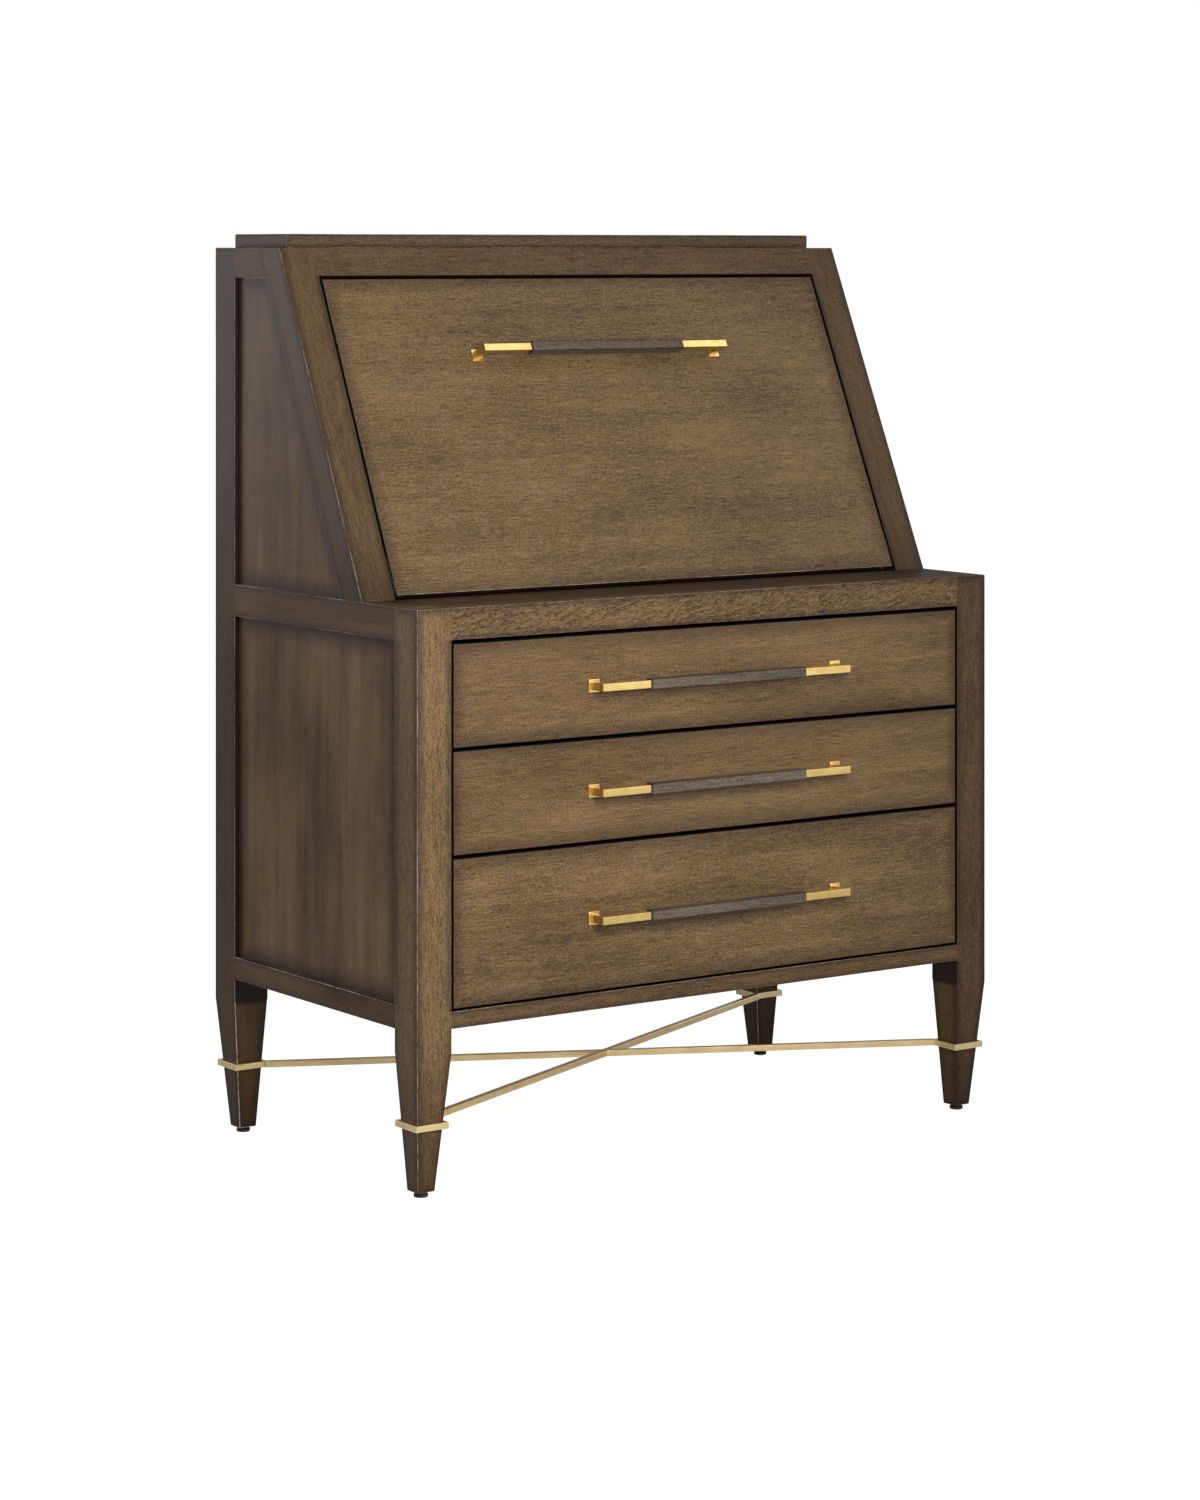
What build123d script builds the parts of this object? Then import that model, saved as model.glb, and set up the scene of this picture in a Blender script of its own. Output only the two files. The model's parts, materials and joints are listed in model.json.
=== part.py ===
from build123d import *
import math
import os

# Secretary desk: a three-drawer base on tapered legs, and above it a narrower case
# with a slanted fall front. Millimetres, +Z up, X across the width, front towards -Y.
# The origin is on the floor, at the middle of the desk's overall box.

# ---- driving dimensions ----------------------------------------------------------

case_width = 914.0
case_depth = 502.0
base_top = 729.0            # the ledge on which the upper case stands
case_top = 1174.0
handle_reach = 32.0         # how far the handle grips stand off the fronts

post_width = 50.0           # along X
post_depth = 52.0           # along Y
taper_top = 176.0           # below this height the posts taper into legs
foot_size = 25.0
foot_inset_front = 18.5     # how far the foot stands back from the outer front or back face
glide_height = 7.0
glide_radius = 9.0
glide_pad_height = 4.0      # of the wide pad, under a narrower neck
glide_neck_radius = 6.5
glide_edge_radius = 1.2

rail_thickness = 25.0
side_rail_bottom = (207.0, 237.0)
side_rail_middle = (687.0, base_top)
side_rail_upper = (1134.0, case_top)
front_rail_bottom = (209.0, 230.5)
front_rail_top = (689.0, base_top)
panel_recess = 6.0
side_panel_thickness = 12.0
back_panel_thickness = 8.0
board_thickness = 18.0
bottom_board = (212.0, 218.0)

ledge_depth = 130.0
slant_run = 205.0           # how far the slanted face leans back over the case's height
stile_thickness = 45.0      # of the slanted stiles, square to the slant
slant_opening_top = 1137.0
top_rail_thickness = 28.0
stop_lip = (21.5, 14.0)     # depth behind the slanted face at which it starts, length
cap_thickness = 18.0
cap_inset = 25.0
cap_back_inset = 8.0
cap_edge_radius = 2.0

door_thickness = 20.0
door_bottom = 734.0
door_top = 1133.0
door_gap = 3.5
hinge_height = 12.0         # of the hinge axis above the ledge
hinge_depth = 4.5           # of the hinge axis behind the door's outer face
door_handle_along = 317.0   # from the hinge axis up the slant

# The knife hinges: a plate in the gap at each end of the door, and a pin into a bush.
hinge_plate_along = (-5.0, 42.0)    # along the slant, from the hinge axis
hinge_plate_depth = (-3.5, 8.5)     # square to the slant, from the hinge axis
hinge_heel = 4.0                    # cut off the plate's inner lower corner
hinge_plate_thickness = 2.0
hinge_pin_radius = 2.4
hinge_pin_length = 5.0              # into the stile
hinge_bush_radius = 3.8
hinge_bush_length = 6.0

drawer_gap = 4.5
drawer_side_gap = 3.0
drawer_bottom_gap = 3.0
small_front_height = 128.5
large_front_height = 184.5
front_thickness = 20.0
drawer_board = 12.0
drawer_bottom_thickness = 6.0
drawer_bottom_rebate = 8.0      # from the sides' lower edges up to the bottom
drawer_box_length = 405.0
drawer_box_lift = 12.0          # of the box's lower edges above the front's
drawer_box_drop = 18.0          # of the box's upper edges below the front's
slide_width = 13.0
slide_length = 400.0
slide_height = 45.0
slide_sheet = 1.5
slide_step = 6.0                # by which the inner channel is lower than the outer, each way
slide_inner_reach = 9.0         # of the inner channel's flanges, from the drawer's side
slide_outer_reach = 10.0        # of the outer channel's flanges, from the case
slide_set_back = 2.0            # behind the drawer front
cleat_half_height = 30.0
cleat_thickness = 20.0

handle_length = 398.0
handle_bar_size = 10.0
handle_bar_reach = 30.0
handle_grip_size = 14.0
handle_grip_length = 248.0
handle_foot_size = 17.0
handle_foot_thickness = 3.0

collar_z = (86.0, 94.0)
collar_wall = 5.4
stretcher_width = 9.0
joint_gap = 0.1             # glue line between boards, and the gap in the halved crossing

lining_thickness = 6.0
lining_lip = 40.0           # how far the linings' upper ends are cut back for the stop lip
door_clearance = 3.0        # behind the closed door
organizer_half_width = 388.0
organizer_front = 76.0
organizer_top = 1000.0
organizer_shelf_z = (850.0, 858.0)
organizer_board = 10.0
organizer_divider = 8.0
lower_divider_x = 126.0
upper_divider_x = (75.0, 225.0)

small_drawer_gap = 1.5
small_drawer_front = 12.0
small_drawer_board = 8.0
small_drawer_bottom = 5.0
small_drawer_length = 160.0
small_drawer_lift = 1.0         # of the drawers above the desk floor
small_drawer_drop = 12.0        # of the box's upper edges below the front's
knob_foot_radius = 5.0
knob_neck_radius = 3.5
knob_radius = 8.0
knob_neck = (4.0, 9.0)          # from the front to the neck's two ends
knob_head_start = 14.0
knob_reach = 20.0
knob_edge = 2.0

# The folding stays: pivot places are given along the slant and square to it,
# from the hinge axis.
stay_arm_pivot = (177.7, 88.7)      # on the case
stay_link_pivot = (197.6, 29.2)     # on the door
stay_arm_length = 189.2
stay_link_length = 184.7
stay_arm_x = (396.0, 398.6)
stay_link_x = (392.0, 394.6)
stay_bar_width = 12.0
stay_pin_radius = 2.5
stay_anchor_radius = 11.0
rivet_radius = 4.5
rivet_height = 1.2
rivet_head = (0.3, 1.1)             # beyond a bar: from its gap to its top
plate_gap = 0.4                     # between a bar and the plate that it turns on
bracket_thickness = 3.0
bracket_half = 9.0
bracket_rise = 8.0                  # of the bracket's tip beyond its pin
bracket_flange = (18.0, 28.0, 2.0)  # reach, length and thickness of the bracket's flange
pin_clearance = 0.06

# ---- worked-out dimensions -------------------------------------------------------

case_back = (case_depth + handle_reach) / 2
case_front = case_back - case_depth
case_middle = (case_front + case_back) / 2
half_width = case_width / 2
opening_half = half_width - post_width
rail_inner = half_width - rail_thickness
front_post_back = case_front + post_depth
rear_post_front = case_back - post_depth
foot_inset_side = (post_width - foot_size) / 2
back_rail_front = case_back - 22.0
back_panel_front = case_back - panel_recess - back_panel_thickness
side_panel_outer = half_width - panel_recess
side_panel_inner = side_panel_outer - side_panel_thickness

slant_foot = case_front + ledge_depth
slant_rise = case_top - base_top
slant_angle = math.atan2(slant_run, slant_rise)
slant_sin = math.sin(slant_angle)
slant_cos = math.cos(slant_angle)
hinge_z = base_top + hinge_height

door_half = opening_half - door_gap
lining_inner = opening_half - lining_thickness
open_desk_level = hinge_z - hinge_depth + door_thickness
drawer_front_half = opening_half - drawer_side_gap
drawer_box_half = opening_half - slide_width


def slant_y(z, depth=0.0):
    """Y, at height z, of the plane that lies `depth` behind the slanted face."""
    return slant_foot + (z - base_top) * slant_run / slant_rise + depth / slant_cos


hinge_y = slant_y(hinge_z, hinge_depth)


def from_hinge(along, depth):
    """(Y, Z) of a point given along the slant and square to it, from the hinge axis."""
    y = hinge_y + along * slant_sin + depth * slant_cos
    z = hinge_z + along * slant_cos - depth * slant_sin
    return y, z


# ---- helpers ---------------------------------------------------------------------

def box_between(low, high):
    """Add a box between two opposite corners to the part being built."""
    size = [abs(b - a) for a, b in zip(low, high)]
    middle = [(a + b) / 2 for a, b in zip(low, high)]
    with Locations(tuple(middle)):
        Box(*size)


def side_prism(outline, x_start, x_end, mode=Mode.ADD):
    """Add a prism to the part being built: an outline of (Y, Z) points, run along X."""
    with BuildSketch(Plane.YZ.offset(x_start)) as section:
        with BuildLine():
            Polyline(*outline, close=True)
        make_face()
    extrude(section.sketch, amount=x_end - x_start, mode=mode)


def side_disc(centre, radius, x_start, x_end, mode=Mode.ADD):
    """Add a disc with its axis along X, centred on a (Y, Z) point."""
    with BuildSketch(Plane.YZ.offset(x_start)) as section:
        with Locations(centre):
            Circle(radius)
    extrude(section.sketch, amount=x_end - x_start, mode=mode)


def save(builder, name):
    builder.part.label = name
    export_step(builder.part, f"parts/{name}.step")


SIDES = (("left", -1), ("right", 1))
os.makedirs("parts", exist_ok=True)

# ---- posts that run down into tapered legs ----------------------------------------


def leg_sections(sign, end):
    """Centre and size of the post, and of its foot; end is -1 at the front, 1 at the back."""
    outer_y = case_front if end < 0 else case_back
    post_centre = (sign * (half_width - post_width / 2), outer_y - end * post_depth / 2)
    foot_centre_x = sign * (half_width - foot_inset_side - foot_size / 2)
    foot_centre_y = outer_y - end * (foot_inset_front + foot_size / 2)
    return post_centre, (foot_centre_x, foot_centre_y)


def tapered_leg(sign, end, mode=Mode.ADD):
    """The leg: a straight-sided taper from the post's section to the foot's."""
    post_centre, foot_centre = leg_sections(sign, end)
    with BuildSketch(Plane.XY.offset(taper_top)) as upper:
        with Locations(post_centre):
            Rectangle(post_width, post_depth)
    with BuildSketch(Plane.XY.offset(glide_height)) as lower:
        with Locations(foot_centre):
            Rectangle(foot_size, foot_size)
    loft([upper.sketch, lower.sketch], mode=mode)


LEGS = [(sign, end) for sign in (-1, 1) for end in (-1, 1)]

for side, sign in SIDES:
    for place, end, top in (("front", -1, base_top), ("rear", 1, case_top)):
        outer_y = case_front if end < 0 else case_back
        with BuildPart() as post:
            tapered_leg(sign, end)
            box_between((sign * opening_half, outer_y - end * post_depth, taper_top),
                        (sign * half_width, outer_y, top))
        save(post, f"post_{place}_{side}")

with BuildPart() as leg_glides:
    for sign, end in LEGS:
        foot_centre = leg_sections(sign, end)[1]
        with BuildSketch():
            with Locations(foot_centre):
                Circle(glide_radius)
        extrude(amount=glide_pad_height)
        with BuildSketch(Plane.XY.offset(glide_pad_height)):
            with Locations(foot_centre):
                Circle(glide_neck_radius)
        extrude(amount=glide_height - glide_pad_height)
    fillet(leg_glides.edges().filter_by(GeomType.CIRCLE).group_by(Axis.Z)[0], glide_edge_radius)
save(leg_glides, "leg_glides")

# ---- brass collars round the legs and the crossed stretcher bars -------------------


def leg_box_at(sign, end, z):
    """Low and high X and Y of the tapered leg at height z."""
    share = (taper_top - z) / (taper_top - glide_height)
    post_centre, foot_centre = leg_sections(sign, end)
    cx = post_centre[0] + (foot_centre[0] - post_centre[0]) * share
    cy = post_centre[1] + (foot_centre[1] - post_centre[1]) * share
    return (cx, cy), (post_width + (foot_size - post_width) * share,
                      post_depth + (foot_size - post_depth) * share)


def collar_outline(sign, end, mode=Mode.ADD):
    centre, (width, depth) = leg_box_at(sign, end, sum(collar_z) / 2)
    with Locations(centre):
        Rectangle(width + 2 * collar_wall, depth + 2 * collar_wall, mode=mode)


collar_height = collar_z[1] - collar_z[0]

with BuildPart() as leg_collars:
    with BuildSketch(Plane.XY.offset(collar_z[0])):
        for sign, end in LEGS:
            collar_outline(sign, end)
    extrude(amount=collar_height)
    for sign, end in LEGS:
        tapered_leg(sign, end, mode=Mode.SUBTRACT)
save(leg_collars, "leg_collars")

# The bars run between the collars' inner corners, halved into each other where they cross.
leg_centre, leg_size = leg_box_at(1, 1, sum(collar_z) / 2)
corner_x = leg_centre[0] - leg_size[0] / 2 - collar_wall
corner_y = leg_centre[1] - leg_size[1] / 2 - collar_wall - case_middle
bar_length = 2 * math.hypot(corner_x, corner_y) + collar_wall
bar_angle = math.degrees(math.atan2(corner_y, corner_x))
notch_height = collar_height / 2 + joint_gap / 2


def stretcher_bar(turn, notch_bottom):
    with BuildPart() as bar:
        with BuildSketch(Plane.XY.offset(collar_z[0])):
            with Locations((0, case_middle)):
                Rectangle(bar_length, stretcher_width, rotation=turn)
            for sign, end in LEGS:
                collar_outline(sign, end, mode=Mode.SUBTRACT)
        extrude(amount=collar_height)
        with BuildSketch(Plane.XY.offset(notch_bottom)):
            with Locations((0, case_middle)):
                Rectangle(bar_length / 4, stretcher_width + 2 * joint_gap, rotation=-turn)
        extrude(amount=notch_height, mode=Mode.SUBTRACT)
    return bar.part


with BuildPart() as stretcher_bars:
    add(stretcher_bar(bar_angle, collar_z[1] - notch_height))
    add(stretcher_bar(-bar_angle, collar_z[0]))
save(stretcher_bars, "stretcher_bars")

# ---- rails, stiles and panels ------------------------------------------------------

stile_depth_y = stile_thickness / slant_cos

for side, sign in SIDES:
    outer = sign * half_width
    inner = sign * rail_inner

    with BuildPart() as side_rails:
        for bottom, top in (side_rail_bottom, side_rail_middle):
            box_between((inner, front_post_back, bottom), (outer, rear_post_front, top))
        bottom, top = side_rail_upper
        side_prism([(slant_y(bottom) + stile_depth_y, bottom), (rear_post_front, bottom),
                    (rear_post_front, top), (slant_y(top) + stile_depth_y, top)],
                   inner, outer)
    save(side_rails, f"side_rails_{side}")

    with BuildPart() as slant_stile:
        side_prism([(slant_y(base_top), base_top),
                    (slant_y(base_top) + stile_depth_y, base_top),
                    (slant_y(case_top) + stile_depth_y, case_top),
                    (slant_y(case_top), case_top)],
                   sign * opening_half, outer)
        side_disc((hinge_y, hinge_z), hinge_bush_radius, sign * opening_half,
                  sign * (opening_half + hinge_bush_length), mode=Mode.SUBTRACT)
    save(slant_stile, f"slant_stile_{side}")

    with BuildPart() as side_panels:
        box_between((sign * side_panel_inner, front_post_back, side_rail_bottom[1]),
                    (sign * side_panel_outer, rear_post_front, side_rail_middle[0]))
        bottom, top = base_top, side_rail_upper[0]
        side_prism([(slant_y(bottom) + stile_depth_y, bottom), (rear_post_front, bottom),
                    (rear_post_front, top), (slant_y(top) + stile_depth_y, top)],
                   sign * side_panel_inner, sign * side_panel_outer)
    save(side_panels, f"side_panels_{side}")

for name, (bottom, top) in (("front_rail_top", front_rail_top),
                            ("front_rail_bottom", front_rail_bottom)):
    with BuildPart() as front_rail:
        box_between((-opening_half, case_front, bottom),
                    (opening_half, case_front + rail_thickness, top))
    save(front_rail, name)


def behind_slant(z, depth, along):
    """(Y, Z) of a point `depth` behind the slanted face, `along` it from height z."""
    y = slant_y(z) + depth * slant_cos + along * slant_sin
    return y, z - depth * slant_sin + along * slant_cos


top_rail_back = slant_y(case_top, top_rail_thickness)
lip_depth, lip_length = stop_lip

# The rail over the fall front is rebated: a lip hangs behind the door as its stop.
with BuildPart() as slant_top_rail:
    side_prism([(slant_y(slant_opening_top), slant_opening_top),
                (slant_y(case_top), case_top),
                (top_rail_back, case_top),
                behind_slant(slant_opening_top, top_rail_thickness, -lip_length),
                behind_slant(slant_opening_top, lip_depth, -lip_length),
                behind_slant(slant_opening_top, lip_depth, 0)],
               -opening_half, opening_half)
save(slant_top_rail, "slant_top_rail")

with BuildPart() as back_rails:
    for bottom, top in (side_rail_bottom, side_rail_middle, side_rail_upper):
        box_between((-opening_half, back_rail_front, bottom), (opening_half, case_back, top))
save(back_rails, "back_rails")

with BuildPart() as back_panels:
    for bottom, top in ((side_rail_bottom[1], side_rail_middle[0]),
                        (base_top, side_rail_upper[0])):
        box_between((-opening_half, back_panel_front, bottom),
                    (opening_half, back_panel_front + back_panel_thickness, top))
save(back_panels, "back_panels")


def notched_board(front, back, wide_from, wide_to, bottom, top):
    """Add a board that reaches the side rails, with its corners cut round the posts."""
    with BuildSketch(Plane.XY.offset(bottom)) as outline:
        with BuildLine():
            Polyline((-opening_half, front), (opening_half, front),
                     (opening_half, wide_from), (rail_inner, wide_from),
                     (rail_inner, wide_to), (opening_half, wide_to),
                     (opening_half, back), (-opening_half, back),
                     (-opening_half, wide_to), (-rail_inner, wide_to),
                     (-rail_inner, wide_from), (-opening_half, wide_from), close=True)
        make_face()
    extrude(outline.sketch, amount=top - bottom)


front_rail_back = case_front + rail_thickness

with BuildPart() as ledge_board:
    notched_board(front_rail_back, back_rail_front, front_post_back, rear_post_front,
                  base_top - board_thickness, base_top)
save(ledge_board, "ledge_board")

with BuildPart() as bottom_dust_board:
    notched_board(front_rail_back, back_rail_front, front_post_back, rear_post_front,
                  bottom_board[0], bottom_board[1])
save(bottom_dust_board, "bottom_board")

with BuildPart() as case_top_board:
    notched_board(top_rail_back, back_rail_front, slant_y(case_top) + stile_depth_y,
                  rear_post_front, case_top - board_thickness, case_top)
save(case_top_board, "case_top_board")

with BuildPart() as cap_board:
    box_between((-half_width + cap_inset, slant_y(case_top) + cap_inset, case_top),
                (half_width - cap_inset, case_back - cap_back_inset,
                 case_top + cap_thickness))
    fillet(cap_board.edges().filter_by(Axis.Z), cap_edge_radius)
    fillet(cap_board.faces().sort_by(Axis.Z)[-1].edges(), cap_edge_radius)
save(cap_board, "cap_board")

# ---- inside the upper case -----------------------------------------------------------

lining_depth = door_thickness + door_clearance
lining_top = side_rail_upper[0]
lining_step = lining_top - lining_lip

with BuildPart() as side_linings:
    for sign in (-1, 1):
        side_prism([(slant_y(base_top, lining_depth), base_top),
                    (back_panel_front, base_top),
                    (back_panel_front, lining_top),
                    (slant_y(lining_top, top_rail_thickness), lining_top),
                    (slant_y(lining_step, top_rail_thickness), lining_step),
                    (slant_y(lining_step, lining_depth), lining_step)],
                   sign * lining_inner, sign * opening_half)
save(side_linings, "side_linings")

with BuildPart() as desk_floor:
    side_prism([(slant_y(base_top, lining_depth), base_top),
                (back_panel_front, base_top),
                (back_panel_front, open_desk_level),
                (slant_y(open_desk_level, lining_depth), open_desk_level)],
               -lining_inner, lining_inner)
save(desk_floor, "desk_floor")

organizer_inner = organizer_half_width - organizer_board
organizer_back = back_panel_front - joint_gap

with BuildPart() as organizer_sides:
    for sign in (-1, 1):
        box_between((sign * organizer_inner, organizer_front, open_desk_level),
                    (sign * organizer_half_width, organizer_back, organizer_top))
save(organizer_sides, "organizer_sides")

with BuildPart() as organizer_top_board:
    box_between((-organizer_half_width, organizer_front, organizer_top),
                (organizer_half_width, organizer_back, organizer_top + organizer_board))
save(organizer_top_board, "organizer_top")

with BuildPart() as organizer_shelf:
    box_between((-organizer_inner, organizer_front, organizer_shelf_z[0]),
                (organizer_inner, organizer_back, organizer_shelf_z[1]))
save(organizer_shelf, "organizer_shelf")

with BuildPart() as organizer_dividers:
    for sign in (-1, 1):
        dividers = [(lower_divider_x, open_desk_level, organizer_shelf_z[0])]
        dividers += [(x, organizer_shelf_z[1], organizer_top) for x in upper_divider_x]
        for x, bottom, top in dividers:
            box_between((sign * x - organizer_divider / 2, organizer_front, bottom),
                        (sign * x + organizer_divider / 2, organizer_back, top))
save(organizer_dividers, "organizer_dividers")

# ---- small drawers in the organizer ------------------------------------------------

small_inner_x = lower_divider_x + organizer_divider / 2 + small_drawer_gap
small_outer_x = organizer_inner - small_drawer_gap
small_bottom = open_desk_level + small_drawer_lift
small_top = organizer_shelf_z[0] - small_drawer_gap
small_middle_x = (small_inner_x + small_outer_x) / 2
small_box_half = (small_outer_x - small_inner_x) / 2 - small_drawer_lift
small_box_top = small_top - small_drawer_drop
small_box_front = organizer_front + small_drawer_front
small_box_back = small_box_front + small_drawer_length

for side, sign in SIDES:
    middle = sign * small_middle_x

    with BuildPart() as small_front:
        box_between((sign * small_inner_x, organizer_front, small_bottom),
                    (sign * small_outer_x, small_box_front, small_top))
    save(small_front, f"small_drawer_{side}_front")

    with BuildPart() as small_box:
        wall = small_box_half - small_drawer_board
        for hand in (-1, 1):
            box_between((middle + hand * wall, small_box_front, small_bottom),
                        (middle + hand * small_box_half, small_box_back, small_box_top))
        inside = wall - joint_gap
        back_wall_front = small_box_back - small_drawer_board
        box_between((middle - inside, back_wall_front, small_bottom),
                    (middle + inside, small_box_back, small_box_top))
        box_between((middle - inside, small_box_front, small_bottom),
                    (middle + inside, back_wall_front - joint_gap,
                     small_bottom + small_drawer_bottom))
    save(small_box, f"small_drawer_{side}_box")

    knob_foot = (middle, organizer_front, (small_bottom + small_top) / 2)
    with BuildPart() as knob:
        with BuildSketch(Plane(knob_foot, x_dir=(0, 0, 1), z_dir=(1, 0, 0))):
            with BuildLine():
                Polyline((0, 0), (knob_foot_radius, 0), (knob_neck_radius, knob_neck[0]),
                         (knob_neck_radius, knob_neck[1]), (knob_radius, knob_head_start),
                         (knob_radius, knob_reach - knob_edge),
                         (knob_radius - knob_edge, knob_reach), (0, knob_reach), close=True)
            make_face()
        revolve(axis=Axis(knob_foot, (0, -1, 0)))
    save(knob, f"small_drawer_{side}_knob")

# ---- handles -------------------------------------------------------------------------


def build_handle(plane, name):
    """A square brass bar on two feet, with a wooden grip sleeved over its middle.

    The plane lies on the front, with X along the handle and Z outwards.
    """
    bar_inner = handle_bar_reach - handle_bar_size
    bar_middle = handle_bar_reach - handle_bar_size / 2
    post_x = (handle_length - handle_bar_size) / 2
    post_middle = (handle_foot_thickness + bar_inner) / 2

    with BuildPart(plane) as bar:
        with Locations((0, 0, bar_middle)):
            Box(handle_length, handle_bar_size, handle_bar_size)
        with Locations((-post_x, 0, post_middle), (post_x, 0, post_middle)):
            Box(handle_bar_size, handle_bar_size, bar_inner - handle_foot_thickness)
        foot_z = handle_foot_thickness / 2
        with Locations((-post_x, 0, foot_z), (post_x, 0, foot_z)):
            Box(handle_foot_size, handle_foot_size, handle_foot_thickness)
    save(bar, f"{name}_handle_bar")

    with BuildPart(plane) as grip:
        with Locations((0, 0, bar_middle)):
            Box(handle_grip_length, handle_grip_size, handle_grip_size)
            Box(handle_grip_length, handle_bar_size, handle_bar_size, mode=Mode.SUBTRACT)
    save(grip, f"{name}_handle_grip")


# ---- the three drawers -----------------------------------------------------------------

bottom_front_z = front_rail_bottom[1] + drawer_bottom_gap
middle_front_z = bottom_front_z + large_front_height + drawer_gap
top_front_z = middle_front_z + small_front_height + drawer_gap
DRAWERS = (("drawer_top", top_front_z, small_front_height),
           ("drawer_middle", middle_front_z, small_front_height),
           ("drawer_bottom", bottom_front_z, large_front_height))
box_front = case_front + front_thickness


def slide_middle(bottom):
    """Height of the middle of a drawer's slides."""
    return bottom + small_front_height / 2


def channel(web_x, open_x, middle, half_height):
    """Add a slide's C-shaped steel channel: a web and two flanges that point to open_x."""
    y_start = box_front + slide_set_back
    web_inner = web_x + math.copysign(slide_sheet, open_x - web_x)
    box_between((web_x, y_start, middle - half_height),
                (web_inner, y_start + slide_length, middle + half_height))
    for hand in (-1, 1):
        box_between((web_inner, y_start, middle + hand * half_height),
                    (open_x, y_start + slide_length,
                     middle + hand * (half_height - slide_sheet)))


for name, bottom, height in DRAWERS:
    top = bottom + height
    middle = bottom + height / 2
    box_bottom = bottom + drawer_box_lift
    box_top = top - drawer_box_drop
    box_back = box_front + drawer_box_length

    with BuildPart() as drawer_front:
        box_between((-drawer_front_half, case_front, bottom),
                    (drawer_front_half, box_front, top))
    save(drawer_front, f"{name}_front")

    with BuildPart() as drawer_box:
        wall = drawer_box_half - drawer_board
        for sign in (-1, 1):
            box_between((sign * wall, box_front, box_bottom),
                        (sign * drawer_box_half, box_back, box_top))
        inside = wall - joint_gap
        back_wall_front = box_back - drawer_board
        box_between((-inside, back_wall_front, box_bottom), (inside, box_back, box_top))
        floor = box_bottom + drawer_bottom_rebate
        box_between((-inside, box_front, floor),
                    (inside, back_wall_front - joint_gap, floor + drawer_bottom_thickness))
    save(drawer_box, f"{name}_box")

    with BuildPart() as drawer_rails:
        for sign in (-1, 1):
            channel(sign * drawer_box_half, sign * (drawer_box_half + slide_inner_reach),
                    slide_middle(bottom), slide_height / 2 - slide_step)
    save(drawer_rails, f"{name}_rails")

    build_handle(Plane(origin=(0, case_front, middle), x_dir=(1, 0, 0), z_dir=(0, -1, 0)),
                 name)

with BuildPart() as slide_channels:
    for name, bottom, height in DRAWERS:
        for sign in (-1, 1):
            channel(sign * opening_half, sign * (opening_half - slide_outer_reach),
                    slide_middle(bottom), slide_height / 2)
save(slide_channels, "slide_channels")

with BuildPart() as slide_cleats:
    for name, bottom, height in DRAWERS:
        middle = slide_middle(bottom)
        for sign in (-1, 1):
            box_between((sign * opening_half, front_post_back, middle - cleat_half_height),
                        (sign * (opening_half + cleat_thickness), rear_post_front,
                         middle + cleat_half_height))
save(slide_cleats, "slide_cleats")

# ---- fall front ------------------------------------------------------------------------

with BuildPart() as door_panel:
    side_prism([(slant_y(door_bottom), door_bottom),
                (slant_y(door_top), door_top),
                behind_slant(door_top, door_thickness, 0),
                (slant_y(door_bottom, door_thickness), door_bottom)],
               -door_half, door_half)
save(door_panel, "door_panel")

handle_y, handle_z = from_hinge(door_handle_along, -hinge_depth)
build_handle(Plane(origin=(0, handle_y, handle_z), x_dir=(1, 0, 0),
                   z_dir=(0, -slant_cos, slant_sin)), "door")

hinge_axis = (hinge_y, hinge_z)
hinge_plate_end = door_half + hinge_plate_thickness

with BuildPart() as hinge_bushes:
    for sign in (-1, 1):
        bush_x = (sign * opening_half, sign * (opening_half + hinge_bush_length))
        side_disc(hinge_axis, hinge_bush_radius, *bush_x)
        side_disc(hinge_axis, hinge_pin_radius + pin_clearance, *bush_x, mode=Mode.SUBTRACT)
save(hinge_bushes, "hinge_bushes")

with BuildPart() as door_hinges:
    for sign in (-1, 1):
        low, high = hinge_plate_along
        outer, inner = hinge_plate_depth
        side_prism([from_hinge(low, outer), from_hinge(high, outer),
                    from_hinge(high, inner), from_hinge(low + hinge_heel, inner)],
                   sign * door_half, sign * hinge_plate_end)
        side_disc(hinge_axis, hinge_pin_radius, sign * hinge_plate_end,
                  sign * (opening_half + hinge_pin_length))
save(door_hinges, "door_hinges")

# ---- folding stays of the fall front ------------------------------------------------------

arm_pivot = from_hinge(*stay_arm_pivot)
link_pivot = from_hinge(*stay_link_pivot)


def folded_knee():
    """(Y, Z) of the joint between the arm and the link while the door is closed."""
    dy = arm_pivot[0] - link_pivot[0]
    dz = arm_pivot[1] - link_pivot[1]
    span = math.hypot(dy, dz)
    along = (stay_link_length ** 2 - stay_arm_length ** 2 + span ** 2) / (2 * span)
    across = math.sqrt(stay_link_length ** 2 - along ** 2)
    return (link_pivot[0] + (dy * along - dz * across) / span,
            link_pivot[1] + (dz * along + dy * across) / span)


knee = folded_knee()


def stay_bar(start, finish, x_range, hole_radius, sign):
    """Add a flat round-ended bar between two pivots, with a hole at its start."""
    middle = ((start[0] + finish[0]) / 2, (start[1] + finish[1]) / 2)
    length = math.hypot(finish[0] - start[0], finish[1] - start[1])
    turn = math.degrees(math.atan2(finish[1] - start[1], finish[0] - start[0]))
    with BuildSketch(Plane.YZ.offset(sign * x_range[0])) as outline:
        with Locations(middle):
            SlotCenterToCenter(length, stay_bar_width, rotation=turn)
        with Locations(start):
            Circle(hole_radius, mode=Mode.SUBTRACT)
    extrude(outline.sketch, amount=sign * (x_range[1] - x_range[0]))


stay_hole_radius = stay_pin_radius + pin_clearance

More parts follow.
